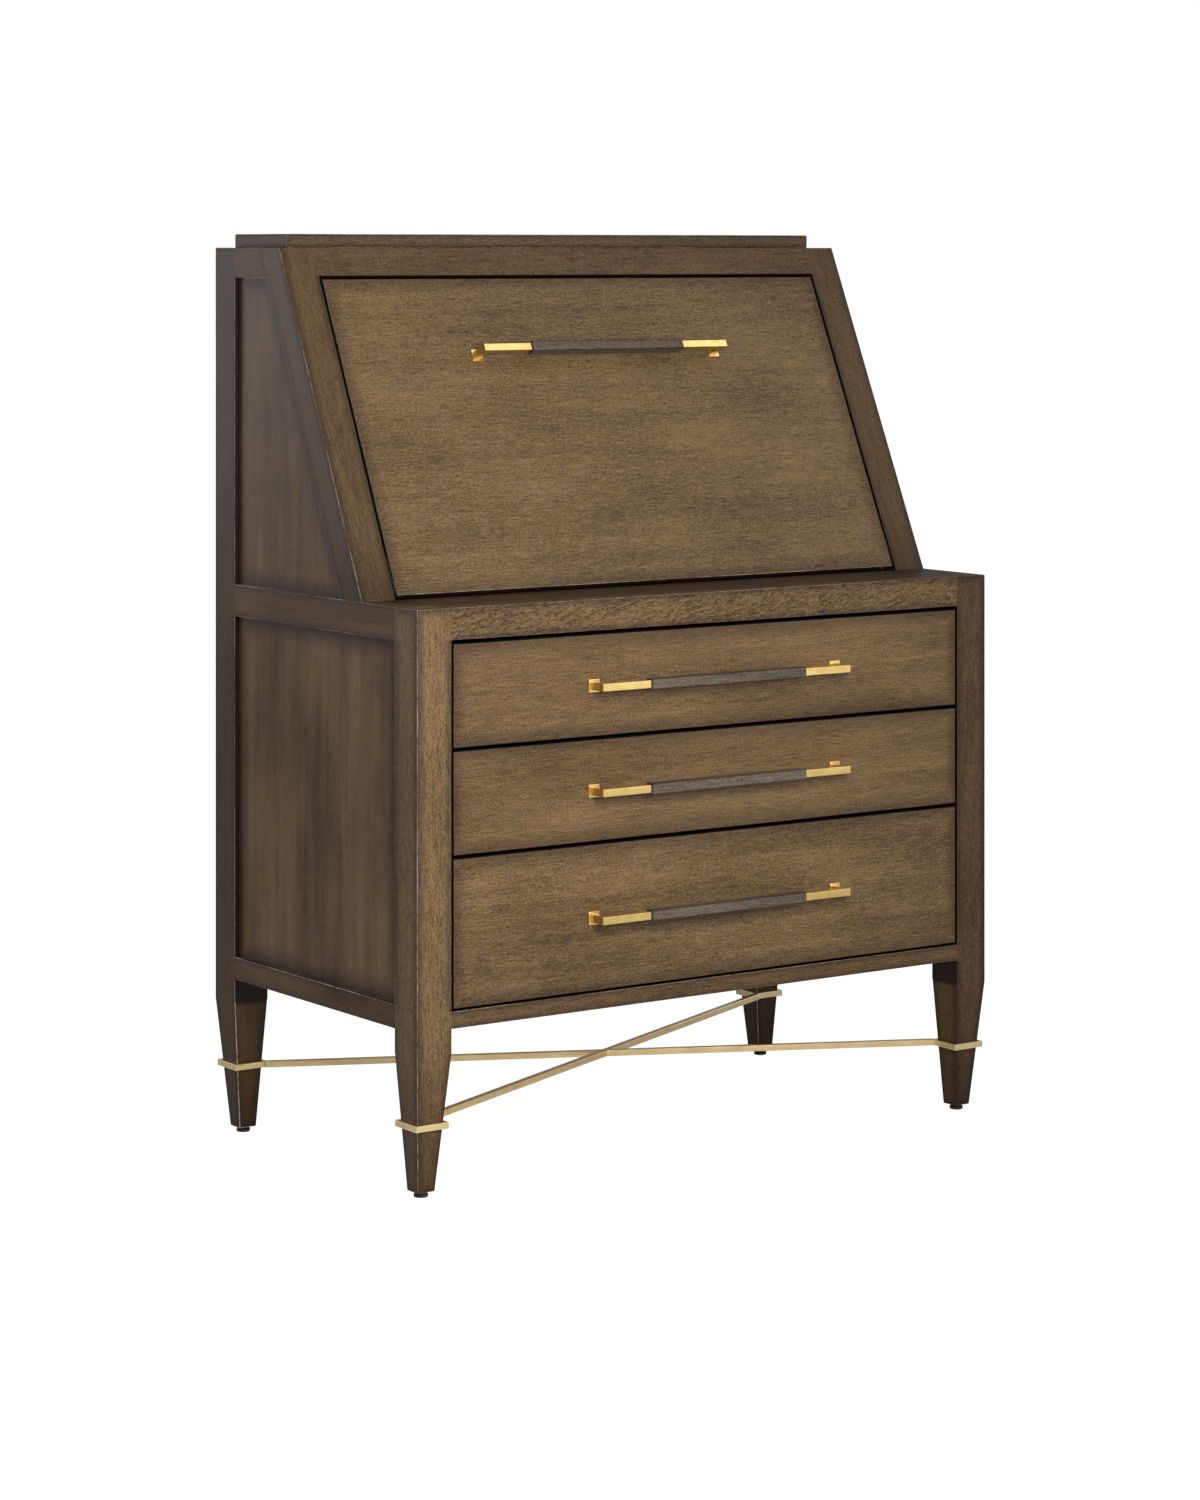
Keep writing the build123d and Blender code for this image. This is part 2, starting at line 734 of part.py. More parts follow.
with BuildPart() as stay_arms:
    for sign in (-1, 1):
        stay_bar(arm_pivot, knee, stay_arm_x, stay_hole_radius, sign)
        side_disc(knee, rivet_radius, sign * stay_arm_x[1],
                  sign * (stay_arm_x[1] + rivet_height))
save(stay_arms, "stay_arms")

with BuildPart() as stay_links:
    for sign in (-1, 1):
        stay_bar(link_pivot, knee, stay_link_x, stay_hole_radius, sign)
        side_disc(knee, rivet_radius, sign * stay_link_x[0],
                  sign * (stay_link_x[0] - rivet_height))
save(stay_links, "stay_links")

head_start, head_end = rivet_head
anchor_plate_x = (stay_arm_x[1] + plate_gap, lining_inner)
anchor_head_x = (stay_arm_x[0] - head_start, stay_arm_x[0] - head_end)

with BuildPart() as stay_anchors:
    for sign in (-1, 1):
        side_disc(arm_pivot, stay_anchor_radius, sign * anchor_plate_x[0],
                  sign * anchor_plate_x[1])
        side_disc(arm_pivot, stay_pin_radius, sign * anchor_head_x[1],
                  sign * anchor_plate_x[0])
        side_disc(arm_pivot, rivet_radius, sign * anchor_head_x[0],
                  sign * anchor_head_x[1])
save(stay_anchors, "stay_anchors")

bracket_plate_x = (stay_link_x[0] - plate_gap - bracket_thickness, stay_link_x[0] - plate_gap)
bracket_head_x = (stay_link_x[1] + head_start, stay_link_x[1] + head_end)
door_inner_depth = door_thickness - hinge_depth
flange_reach, flange_length, flange_thickness = bracket_flange
pivot_along, pivot_depth = stay_link_pivot


def on_pivot(along, depth):
    """(Y, Z) of a point given along the slant from the link's pivot, and by its depth."""
    return from_hinge(pivot_along + along, depth)


with BuildPart() as stay_brackets:
    for sign in (-1, 1):
        side_prism([on_pivot(-bracket_half, door_inner_depth),
                    on_pivot(bracket_half, door_inner_depth),
                    on_pivot(bracket_half, pivot_depth),
                    on_pivot(bracket_half / 2, pivot_depth + bracket_rise),
                    on_pivot(-bracket_half / 2, pivot_depth + bracket_rise),
                    on_pivot(-bracket_half, pivot_depth)],
                   sign * bracket_plate_x[0], sign * bracket_plate_x[1])
        flange_half = flange_length / 2
        flange_depth = door_inner_depth + flange_thickness
        side_prism([on_pivot(-flange_half, door_inner_depth),
                    on_pivot(flange_half, door_inner_depth),
                    on_pivot(flange_half, flange_depth),
                    on_pivot(-flange_half, flange_depth)],
                   sign * (bracket_plate_x[0] - flange_reach), sign * bracket_plate_x[1])
        side_disc(link_pivot, stay_pin_radius, sign * bracket_plate_x[1],
                  sign * bracket_head_x[1])
        side_disc(link_pivot, rivet_radius, sign * bracket_head_x[0],
                  sign * bracket_head_x[1])
save(stay_brackets, "stay_brackets")
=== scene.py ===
import json
import math
import random

import bmesh
import bpy
import numpy as np
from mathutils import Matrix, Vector


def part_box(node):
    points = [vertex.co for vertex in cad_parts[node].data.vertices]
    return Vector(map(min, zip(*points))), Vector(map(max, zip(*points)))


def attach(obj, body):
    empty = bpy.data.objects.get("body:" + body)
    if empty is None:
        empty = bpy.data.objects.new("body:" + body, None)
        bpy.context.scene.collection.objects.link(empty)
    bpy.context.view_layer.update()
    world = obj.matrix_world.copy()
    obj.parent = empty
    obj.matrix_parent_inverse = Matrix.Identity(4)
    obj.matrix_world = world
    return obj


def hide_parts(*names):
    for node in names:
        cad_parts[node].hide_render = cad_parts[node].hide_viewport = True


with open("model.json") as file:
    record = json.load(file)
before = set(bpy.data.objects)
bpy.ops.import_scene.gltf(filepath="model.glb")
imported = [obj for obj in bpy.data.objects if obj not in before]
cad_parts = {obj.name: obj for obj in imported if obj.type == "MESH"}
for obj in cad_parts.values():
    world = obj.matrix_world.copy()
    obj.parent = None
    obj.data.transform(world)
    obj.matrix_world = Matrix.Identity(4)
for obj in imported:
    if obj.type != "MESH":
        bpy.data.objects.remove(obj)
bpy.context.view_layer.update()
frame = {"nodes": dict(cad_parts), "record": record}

NODES = frame["nodes"]
BEHAVIOUR = frame["record"]["behaviour"]
BODY_OF = {node: body for body, nodes in BEHAVIOUR["bodies"].items() for node in nodes}
SLOT_OF = {row["node"]: row["material_slot"] for row in frame["record"]["subparts"]}
MM = 0.001

# ---- where the desk's faces are, from the frame ---------------------------------------

front_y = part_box("post_front_left")[0].y
back_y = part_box("post_rear_right")[1].y
case_middle_y = (front_y + back_y) / 2
stile_low, stile_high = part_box("slant_stile_left")


def slant_angle():
    """The slanted face's lean from the vertical, from the outline of a stile's front edge."""
    outline = [v.co for v in NODES["slant_stile_left"].data.vertices]
    foot = min(c.y for c in outline if c.z < stile_low.z + MM)
    head = min(c.y for c in outline if c.z > stile_high.z - MM)
    return math.atan2(head - foot, stile_high.z - stile_low.z)


SLANT = slant_angle()

# ---- camera, lights and floor ----------------------------------------------------------

EYE_LEFT, EYE_BACK, EYE_HEIGHT = 3.0214, 4.2990, 1.1695     # from the case's middle, metres
EYE_TURN = 0.61123                                          # to the right, radians
LENS, SENSOR = 93.64, 36
FRAME_SHIFT = (0.0007, -0.3326)

WHITE, WARM, COOL = (1, 1, 1), (1, 0.95, 0.87), (0.95, 0.965, 1)
AMBIENT = (0.24, 0.24, 0.25)
FLOOR_REACH = 40.0

# Name, place, aim, width and height, watts, colour, and whether it lights gloss only.
LIGHTS = (
    ("key", (-0.80, -1.80, 1.30), (-0.1, -0.2, 0.72), (0.45, 0.45), 24.5, WARM, False),
    ("low_key", (-0.55, -1.95, 0.95), (-0.1, -0.2, 0.72), (0.08, 0.08), 11, WARM, False),
    ("front_fill", (1.4, -4.2, 1.0), (0, 0, 0.7), (2.2, 2.2), 7, WHITE, False),
    ("card", (2.6, -3.9, 1.0), (0, 0, 0.7), (2.2, 2.2), 19, WHITE, True),
    ("high_card", (2.3, -2.3, 3.3), (0, 0, 0.8), (1.8, 1.8), 16, WHITE, True),
    ("right_card", (3.4, 0.2, 0.7), (0, 0, 0.3), (2.0, 1.4), 22, WHITE, True),
    ("cool_side", (-2.2, 2.6, 1.25), (-0.4, 0.1, 1.0), (1.7, 1.2), 14, COOL, False),
    ("overhead", (0.2, 0.2, 3.2), (0, 0, 0.6), (2.4, 2.4), 3, WHITE, False),
)


def make_camera():
    """Level camera, off the desk's front-left corner, with the frame shifted down."""
    camera = bpy.data.objects.new("camera", bpy.data.cameras.new("camera"))
    bpy.context.scene.collection.objects.link(camera)
    camera.location = (-EYE_LEFT, case_middle_y - EYE_BACK, EYE_HEIGHT)
    camera.rotation_euler = (math.radians(90), 0, -EYE_TURN)
    camera.data.sensor_width = SENSOR
    camera.data.lens = LENS
    camera.data.shift_x, camera.data.shift_y = FRAME_SHIFT
    camera.data.clip_end = 100
    bpy.context.scene.camera = camera


def make_area_light(name, place, aim, size, power, colour, gloss_only):
    """A rectangular light, aimed at a place and never seen by the camera itself."""
    light = bpy.data.lights.new(name, "AREA")
    light.shape = "RECTANGLE"
    light.size, light.size_y = size
    light.energy = power
    light.color = colour
    lamp = bpy.data.objects.new(name, light)
    bpy.context.scene.collection.objects.link(lamp)
    lamp.location = place
    direction = Vector(aim) - Vector(place)
    lamp.rotation_euler = direction.to_track_quat("-Z", "Y").to_euler()
    lamp.visible_camera = False
    lamp.visible_diffuse = not gloss_only


def make_world():
    """White where the camera sees it, and a dimmer, even ambient light on the desk."""
    world = bpy.data.worlds.new("studio")
    world.use_nodes = True
    tree = world.node_tree
    seen = tree.nodes.new("ShaderNodeBackground")
    lit = tree.nodes["Background"]
    mix = tree.nodes.new("ShaderNodeMixShader")
    path = tree.nodes.new("ShaderNodeLightPath")
    seen.inputs["Color"].default_value = (1, 1, 1, 1)
    lit.inputs["Color"].default_value = (*AMBIENT, 1)
    tree.links.new(path.outputs["Is Camera Ray"], mix.inputs[0])
    tree.links.new(lit.outputs[0], mix.inputs[1])
    tree.links.new(seen.outputs[0], mix.inputs[2])
    tree.links.new(mix.outputs[0], tree.nodes["World Output"].inputs["Surface"])
    bpy.context.scene.world = world


def make_floor():
    """A plain pale floor, wide enough to reach past the camera."""
    square = [(x * FLOOR_REACH, y * FLOOR_REACH, 0)
              for x, y in ((-1, -1), (1, -1), (1, 1), (-1, 1))]
    mesh = bpy.data.meshes.new("floor")
    mesh.from_pydata(square, [], [(0, 1, 2, 3)])
    floor = bpy.data.objects.new("floor", mesh)
    bpy.context.scene.collection.objects.link(floor)
    floor.data.materials.append(floor_material())


def make_studio():
    bpy.context.scene.view_settings.view_transform = "Standard"
    make_world()
    for light in LIGHTS:
        make_area_light(*light)
    make_floor()


# ---- shader helpers ---------------------------------------------------------------------


class Shader:
    """A material under construction: short calls that add a node and link its inputs."""

    def __init__(self, name):
        self.material = bpy.data.materials.new(name)
        self.material.use_nodes = True
        self.tree = self.material.node_tree
        self.surface = self.tree.nodes["Principled BSDF"]

    def node(self, kind, inputs=(), **settings):
        """Adds a node, gives it its settings and feeds its inputs."""
        made = self.tree.nodes.new("ShaderNode" + kind)
        for key, value in settings.items():
            setattr(made, key, value)
        for key, value in dict(inputs).items():
            self.feed(made.inputs[key], value)
        return made

    def feed(self, socket, value):
        """Links another node's output to a socket, or sets the socket to a constant."""
        if isinstance(value, bpy.types.NodeSocket):
            self.tree.links.new(value, socket)
        else:
            socket.default_value = value

    def math(self, operation, first, second=0.0, clamp=False):
        made = self.node("Math", {0: first, 1: second}, operation=operation, use_clamp=clamp)
        return made.outputs[0]

    def attribute(self, name):
        return self.node("Attribute", attribute_name=name).outputs["Vector"]

    def channels(self, name):
        """The three numbers that an attribute carries."""
        return self.node("SeparateXYZ", {0: self.attribute(name)}).outputs

    def centred(self, value, weight):
        """The value's swing about its middle, times a weight."""
        return self.math("MULTIPLY", self.math("SUBTRACT", value, 0.5), weight)

    def add_up(self, first, *others, clamp=False):
        """The sum of all the terms, held to between 0 and 1 if clamp is set."""
        for number, other in enumerate(others, 1):
            first = self.math("ADD", first, other, clamp=clamp and number == len(others))
        return first

    def scaled(self, vector, scale):
        made = self.node("VectorMath", {0: vector, 1: scale}, operation="MULTIPLY")
        return made.outputs[0]

    def noise(self, vector, detail, scale=1.0, roughness=0.5, distortion=0.0):
        made = self.node("TexNoise", {"Vector": vector, "Scale": scale, "Detail": detail,
                                      "Roughness": roughness, "Distortion": distortion})
        return made.outputs["Fac"]

    def ramp(self, value, low, high):
        """0 below low, 1 above high."""
        made = self.node("MapRange", {"Value": value, "From Min": low, "From Max": high},
                         interpolation_type="SMOOTHSTEP", clamp=True)
        return made.outputs["Result"]

    def mix(self, factor, first, second, blend="MIX"):
        made = self.node("Mix", data_type="RGBA", blend_type=blend)
        for index, value in ((0, factor), (6, first), (7, second)):
            if isinstance(value, tuple):
                value = (*value, 1)
            self.feed(made.inputs[index], value)
        return made.outputs[2]

    def bump(self, height, distance, strength):
        inputs = {"Height": height, "Distance": distance, "Strength": strength}
        return self.node("Bump", inputs).outputs["Normal"]

    def finish(self, **inputs):
        """Feeds the surface, whose inputs are named with _ for a space."""
        for key, value in inputs.items():
            name = key.replace("_", " ")
            if isinstance(value, tuple):
                value = (*value, 1)
            self.feed(self.surface.inputs[name], value)
        return self.material


def floor_material():
    """Pale paper, lifted towards white only where the camera looks straight at it."""
    shader = Shader("floor_paper")
    place = shader.node("TexCoord").outputs["Object"]
    mottle = shader.noise(place, detail=4.0, scale=3.0)
    colour = shader.mix(mottle, (0.78, 0.78, 0.78), (0.84, 0.84, 0.84))
    lift = shader.math("MULTIPLY", shader.node("LightPath").outputs["Is Camera Ray"], 0.85)
    return shader.finish(Base_Color=colour, Roughness=0.9, Specular_IOR_Level=0.0,
                         Emission_Color=(1, 1, 1), Emission_Strength=lift)


def edge_distance(shader):
    """Distance along a face to its nearest edge: the middle one of the three distances to
    the piece's sides, because the one to the face itself is nothing."""
    near, far = shader.attribute("near"), shader.attribute("far")
    least = shader.node("VectorMath", {0: near, 1: far}, operation="MINIMUM").outputs[0]
    a, b, c = shader.node("SeparateXYZ", {0: least}).outputs
    low = shader.math("MINIMUM", a, b)
    high = shader.math("MAXIMUM", a, b)
    return shader.math("MAXIMUM", low, shader.math("MINIMUM", high, c))


# The grain's noises: scale along and across it, and the noise's own settings.
FIGURE = {
    "speck": ((330, 900, 900), {"detail": 2.0, "roughness": 0.6}),
    "fibre": ((42, 520, 520), {"detail": 4.0, "roughness": 0.6}),
    "band": ((5, 70, 70), {"detail": 4.0, "distortion": 0.4}),
    "cloud": ((4.5, 10, 10), {"detail": 3.0}),
    "streak": ((3, 38, 38), {"detail": 4.0, "distortion": 0.5}),
    "swirl": ((60, 270, 270), {"detail": 5.0, "roughness": 0.65, "distortion": 1.9}),
    "pores": ((150, 1150, 1150), {"detail": 1.0}),
    "patches": ((9, 9, 9), {"detail": 2.0}),
    "chips": ((120, 160, 160), {"detail": 3.0, "roughness": 0.7}),
}
# The wear also paints highlights along the eased edges.
WEAR_AND_HIGHLIGHT_EDGE = (0.4 * MM, 1.3 * MM)        # full wear up to here, and none from here on
# Near black painted on the faces that line the gaps: painted shade.
PAINTED_GAP_SHADE_BLACK = (0.005, 0.003, 0.002)


def wood_shade(shader, noises, grit, curl, mottle):
    """How light the grain is, from 0 to 1, out of all its noises."""
    fine = shader.add_up(shader.centred(noises["speck"], 2.3),
                         shader.centred(noises["fibre"], 1.5))
    streaked = shader.math("MULTIPLY", shader.math("SUBTRACT", mottle, 0.8), 1.3)
    return shader.add_up(
        shader.math("MULTIPLY", fine, grit),
        shader.centred(noises["band"], 0.6),
        shader.centred(noises["cloud"], shader.math("MULTIPLY", mottle, 0.85)),
        shader.centred(noises["streak"], streaked),
        shader.centred(noises["swirl"], shader.math("MULTIPLY", curl, 4.6)),
        0.5, clamp=True)


def wood_pores(shader, noises, grit, curl):
    """Short dark pores, in bands, and more of them where the grain is curly."""
    threshold = shader.math("SUBTRACT", 0.655, shader.math("MULTIPLY", curl, 0.06))
    pores = shader.ramp(noises["pores"], threshold, 0.74)
    pores = shader.math("MULTIPLY", pores, shader.ramp(noises["band"], 0.25, 0.60))
    return shader.math("MULTIPLY", pores, grit, clamp=True)


def wood_tone(shader, colour, tone, foot_shade):
    """Darkens the colour by the piece's tone, and turns it warmer as it darkens."""
    tone = shader.math("MULTIPLY", tone, shader.math("SUBTRACT", 1.0, foot_shade))
    warmer = shader.node("CombineXYZ", {0: tone, 1: shader.math("POWER", tone, 1.12),
                                        2: shader.math("POWER", tone, 1.25)}).outputs[0]
    return shader.scaled(colour, warmer)


def wood_rim(shader, noises, distance, width, strength):
    """Where the dark glaze lies, partly painted shade: a soft, uneven rim along the edges."""
    reach = shader.add_up(0.35, shader.math("MULTIPLY", noises["cloud"], 1.3))
    inside = shader.math("DIVIDE", distance, shader.math("MULTIPLY", width, reach))
    rim = shader.math("SUBTRACT", 1.0, shader.ramp(inside, 0.0, 1.0))
    rim = shader.math("MULTIPLY", rim, strength)
    uneven = shader.add_up(0.65, shader.math("MULTIPLY", noises["band"], 0.7))
    return shader.math("MULTIPLY", rim, uneven, clamp=True)


def wood_wear_and_highlight(shader, noises, distance, amount):
    """Where the edges are rubbed pale, in broken lines, with painted highlights along them."""
    where = shader.ramp(noises["patches"], 0.38, 0.60)
    chipped = shader.ramp(noises["chips"], 0.36, 0.56)
    edge = shader.math("SUBTRACT", 1.0, shader.ramp(distance, *WEAR_AND_HIGHLIGHT_EDGE))
    broken = shader.math("MULTIPLY", shader.math("ADD", where, 0.35),
                         shader.math("ADD", chipped, 0.25))
    return shader.math("MULTIPLY", shader.math("MULTIPLY", edge, broken), amount, clamp=True)


def wood_material(name, brown, tan, pore, worn_and_highlight, glaze_and_shade_colour, rough=0.40, pore_depth=0.75):
    """Stained open-pored wood. The grain runs along the first axis of the piece's own
    "grain" attribute. "finish" holds the width and strength of the glaze and painted shade along
    the edges, and tone, "figure" holds curl, edge wear with its painted highlights, and mottle,
    and "surface" holds grit, the painted shade in the gaps and the darkening towards the feet."""
    shader = Shader(name)
    grain = shader.attribute("grain")
    glaze_and_shade_width, glaze_and_shade_strength, tone = shader.channels("finish")
    curl, wear_and_highlight_amount, mottle = shader.channels("figure")
    grit, painted_gap_shade, foot_shade = shader.channels("surface")
    noises = {key: shader.noise(shader.scaled(grain, scale), **settings)
              for key, (scale, settings) in FIGURE.items()}

    pores = wood_pores(shader, noises, grit, curl)
    colour = shader.mix(wood_shade(shader, noises, grit, curl, mottle), brown, tan)
    colour = shader.mix(shader.math("MULTIPLY", pores, pore_depth), colour, pore)
    colour = wood_tone(shader, colour, tone, foot_shade)
    distance = edge_distance(shader)
    rim = wood_rim(shader, noises, distance, glaze_and_shade_width, glaze_and_shade_strength)
    # The glaze along the edges, partly painted shade in the recesses and along the gaps.
    colour = shader.mix(rim, colour, glaze_and_shade_colour, blend="MULTIPLY")
    # Pale rubbed edges, partly painted highlights along the eased edges.
    colour = shader.mix(wood_wear_and_highlight(shader, noises, distance, wear_and_highlight_amount), colour, worn_and_highlight)
    # Painted shade: the faces lining the gaps go near black.
    colour = shader.mix(shader.math("MULTIPLY", painted_gap_shade, 0.92), colour, PAINTED_GAP_SHADE_BLACK)

    roughness = shader.add_up(rough - 0.05, shader.math("MULTIPLY", noises["band"], 0.14),
                              shader.math("MULTIPLY", pores, 0.2))
    relief = shader.math("SUBTRACT", shader.math("MULTIPLY", noises["fibre"], 0.3), pores)
    return shader.finish(Base_Color=colour, Roughness=roughness,
                         Normal=shader.bump(relief, 0.12 * MM, strength=0.5),
                         Specular_IOR_Level=0.22)


def metal_material(name, colour, dull, rough):
    """Satin metal: fine lengthwise brushing, faint mottling and brighter rubbed edges."""
    shader = Shader(name)
    grain = shader.attribute("grain")
    brushed = shader.noise(shader.scaled(grain, (30, 3000, 3000)), detail=3.0)
    mottle = shader.noise(shader.scaled(grain, (40, 60, 60)), detail=4.0, roughness=0.6)
    tint = shader.mix(shader.ramp(mottle, 0.35, 0.7), colour, dull)
    rubbed = shader.math("SUBTRACT", 1.0, shader.ramp(edge_distance(shader), 0.2 * MM, 1.2 * MM))
    brighter = tuple(1.12 * channel for channel in colour)
    tint = shader.mix(shader.math("MULTIPLY", rubbed, 0.4), tint, brighter)
    roughness = shader.add_up(rough, shader.math("MULTIPLY", brushed, 0.12),
                              shader.math("MULTIPLY", mottle, 0.08))
    normal = shader.bump(brushed, 0.02 * MM, strength=0.35)
    return shader.finish(Base_Color=tint, Metallic=1.0, Roughness=roughness, Normal=normal)


def steel_material():
    """Zinc plated sheet steel, faintly spangled and brushed."""
    shader = Shader("zinc_steel")
    grain = shader.attribute("grain")
    spangle = shader.node("TexVoronoi", {"Vector": shader.scaled(grain, (90, 140, 140)),
                                         "Scale": 1.0}).outputs["Distance"]
    brushed = shader.noise(shader.scaled(grain, (20, 2000, 2000)), detail=3.0)
    tint = shader.mix(shader.ramp(spangle, 0.1, 0.8), (0.62, 0.63, 0.64), (0.50, 0.51, 0.53))
    roughness = shader.math("ADD", 0.28, shader.math("MULTIPLY", brushed, 0.2))
    return shader.finish(Base_Color=tint, Metallic=1.0, Roughness=roughness,
                         Normal=shader.bump(brushed, 0.02 * MM, strength=0.4))


def plastic_material():
    """Black plastic, finely pitted and a little dusty."""
    shader = Shader("glide_plastic")
    grain = shader.attribute("grain")
    pitted = shader.noise(shader.scaled(grain, (900, 900, 900)), detail=3.0)
    dusty = shader.noise(shader.scaled(grain, (160, 160, 160)), detail=4.0)
    tint = shader.mix(shader.ramp(dusty, 0.45, 0.75), (0.012, 0.012, 0.013), (0.035, 0.033, 0.03))
    roughness = shader.math("ADD", 0.42, shader.math("MULTIPLY", dusty, 0.25))
    return shader.finish(Base_Color=tint, Roughness=roughness,
                         Normal=shader.bump(pitted, 0.05 * MM, strength=0.4))


# Brown, tan, pores, rubbed edges with their painted highlights and the tint of the glaze and
# painted shade, then the roughness and the strength of the pores where they aren't the usual
# ones.
WOODS = {
    "case_wood": ((0.060, 0.033, 0.0145), (0.224, 0.147, 0.074), (0.014, 0.007, 0.004),
                  (0.44, 0.38, 0.31), (0.22, 0.20, 0.22)),
    "interior_wood": ((0.105, 0.062, 0.031), (0.300, 0.195, 0.105), (0.030, 0.017, 0.009),
                      (0.36, 0.28, 0.20), (0.45, 0.42, 0.40)),
    "drawer_wood": ((0.34, 0.22, 0.115), (0.62, 0.46, 0.28), (0.24, 0.15, 0.08),
                    (0.62, 0.50, 0.34), (0.75, 0.70, 0.65), 0.5, 0.5),
    "grip_wood": ((0.040, 0.032, 0.025), (0.168, 0.138, 0.108), (0.012, 0.009, 0.007),
                  (0.26, 0.23, 0.19), (0.25, 0.25, 0.25)),
}
# Colour, dulled colour and roughness.
BRUSHED_METALS = {
    "satin_brass": ((0.90, 0.66, 0.25), (0.80, 0.56, 0.19), 0.20),
    # The pale brass is paler and greyer than the satin brass, partly as a painted reflection of
    # the white it faces.
    "pale_brass": ((0.94, 0.77, 0.44), (0.85, 0.66, 0.34), 0.22),
    "blackened_steel": ((0.030, 0.027, 0.024), (0.018, 0.016, 0.015), 0.42),
    "stay_brass": ((0.66, 0.46, 0.18), (0.56, 0.38, 0.14), 0.30),
}


def make_materials():
    """The material of every slot that the record names."""
    made = {slot: wood_material(slot, *look) for slot, look in WOODS.items()}
    made.update({slot: metal_material(slot, *look) for slot, look in BRUSHED_METALS.items()})
    made["slide_steel"] = steel_material()
    made["glide_plastic"] = plastic_material()
    return made


# ---- pieces ------------------------------------------------------------------------------

MERGED = 0.004 * MM         # corners this close become one
CUT = 0.001 * MM            # and a corner this close to a cut is on it
TOUCH = 0.05 * MM           # within this of a side counts as lying in it
FLAT, SHARP = math.radians(0.5), math.radians(28)
ROUNDING_STEPS = 3
# These fades also end the painted gap shade; the second one ends it on the ledge behind the fall
# front's foot.
JOINT_FADE = 0.3 * MM       # over which a finish stops at a joint
LEDGE_FADE = 0.5 * MM       # and behind the fall front's foot
# The wear here includes the painted highlights on the edges.
UNWORN = 2 * MM             # from an edge, and wear no longer shows
OFF_THE_END = 1.0           # added to a distance, so that no rim shows there
TAPER_TOP = 176 * MM        # below this the posts taper into legs
FOOT_SLICE = 2 * MM
# The legs' darkening towards the floor is partly painted shade.
LEG_SHADE = 0.5             # how far the legs darken towards the floor,
STILE_SHADE, STILE_SHADE_HEIGHT = 0.45, 75 * MM     # and the stiles towards the ledge
GRAIN_SPREAD = 4.0          # how far each piece is moved through the noises, in metres
TONE_SPREAD = (0.96, 1.04)
UP, UP_SLANT = (0, 0, 1), (0, math.sin(SLANT), math.cos(SLANT))
# The rails that butt against each kind of upright, and the axis that each joint faces.
JOINTS = {"post_front": ((0, "front_rail_top"), (0, "front_rail_bottom"), (1, "side_rails")),
          "post_rear": ((1, "side_rails"),),
          "slant_stile": ((0, "slant_top_rail"), (1, "side_rails"))}
SLANTED = ("slant_", "door_")
# Long pieces with no glaze, painted shade, wear or painted highlights across their ends.
RAILS = ("side_rails", "front_rail", "slant_", "back_rails")
# Pieces whose two ends meet a neighbour and stay square.
BUTTED = ("side_rails", "front_rail", "slant_", "back_rails", "side_panels", "back_panels",
          "organizer", "ledge_board", "bottom_board", "case_top_board", "side_linings",
          "desk_floor", "slide_cleats")
# How far the edges are rounded, in mm, by material.
EASED = {"case_wood": 1.2, "interior_wood": 0.6, "drawer_wood": 0.8, "grip_wood": 1.2,
         "satin_brass": 0.6, "pale_brass": 0.5, "stay_brass": 0.3, "blackened_steel": 0.2,
         "slide_steel": 0.0, "glide_plastic": 0.4}

# How each piece was finished: its tone, the glaze and painted shade along its edges (width in mm,
# strength), how curly and how mottled its figure is, how many degrees its grain is off line, how
# worn its edges are, with their painted highlights, and how gritty its grain is.
PLAIN_LOOK = {"tone": 1.0, "glaze_and_shade": (6, 0.3), "curl": 0.0, "mottle": 1.0, "tilt": 0,
              "wear_and_highlight": 0.4, "grit": 1.0}
LOOKS = {
    "door_panel": {"tone": 1.04, "glaze_and_shade": (26, 0.5), "wear_and_highlight": 0.8},
    "drawer_": {"tone": 0.98, "glaze_and_shade": (24, 0.55), "wear_and_highlight": 0.4, "mottle": 1.2},
    # The bottom drawer's tone is raised as painted light, making up for the light falling off
    # towards it.
    "drawer_bottom": {"tone": 1.08, "glaze_and_shade": (26, 0.55), "wear_and_highlight": 0.4, "mottle": 1.3},
    "post_front_left": {"glaze_and_shade": (14, 0.7), "curl": 0.25, "wear_and_highlight": 0.45},
    "post_front_right": {"tone": 0.55, "glaze_and_shade": (14, 0.7), "curl": 0.3, "wear_and_highlight": 0.2},
    "post_rear": {"tone": 0.60, "glaze_and_shade": (12, 0.6), "wear_and_highlight": 1.3, "grit": 0.5},
    "front_rail_top": {"tone": 0.84, "glaze_and_shade": (9, 0.65), "curl": 1.3, "tilt": 14, "wear_and_highlight": 0.3},
    "front_rail_bottom": {"tone": 0.7, "glaze_and_shade": (8, 0.6), "curl": 0.3, "wear_and_highlight": 0.3},
    "slant_top_rail": {"tone": 0.67, "glaze_and_shade": (12, 0.6), "curl": 0.3, "wear_and_highlight": 0.3},
    "slant_stile": {"tone": 0.67, "glaze_and_shade": (13, 0.65), "curl": 0.15, "wear_and_highlight": 0.35},
    "side_rails": {"tone": 0.72, "glaze_and_shade": (9, 0.55), "mottle": 1.5, "grit": 0.5, "wear_and_highlight": 0.6},
    "side_panels": {"tone": 0.99, "glaze_and_shade": (30, 0.8), "mottle": 1.7, "grit": 0.5},
    "cap_board": {"tone": 0.77, "glaze_and_shade": (8, 0.6), "wear_and_highlight": 0.7},
    # The ledge's low tone is painted shade: its top, seen at a glancing angle, looks dark.
    "ledge_board": {"tone": 0.34, "glaze_and_shade": (16, 0.6), "grit": 0.6},
    "back_": {"tone": 0.85, "glaze_and_shade": (10, 0.5)},
}
HANDLE_LOOK = {"glaze_and_shade": (2.4, 0.9), "wear_and_highlight": 0.0, "mottle": 1.4}


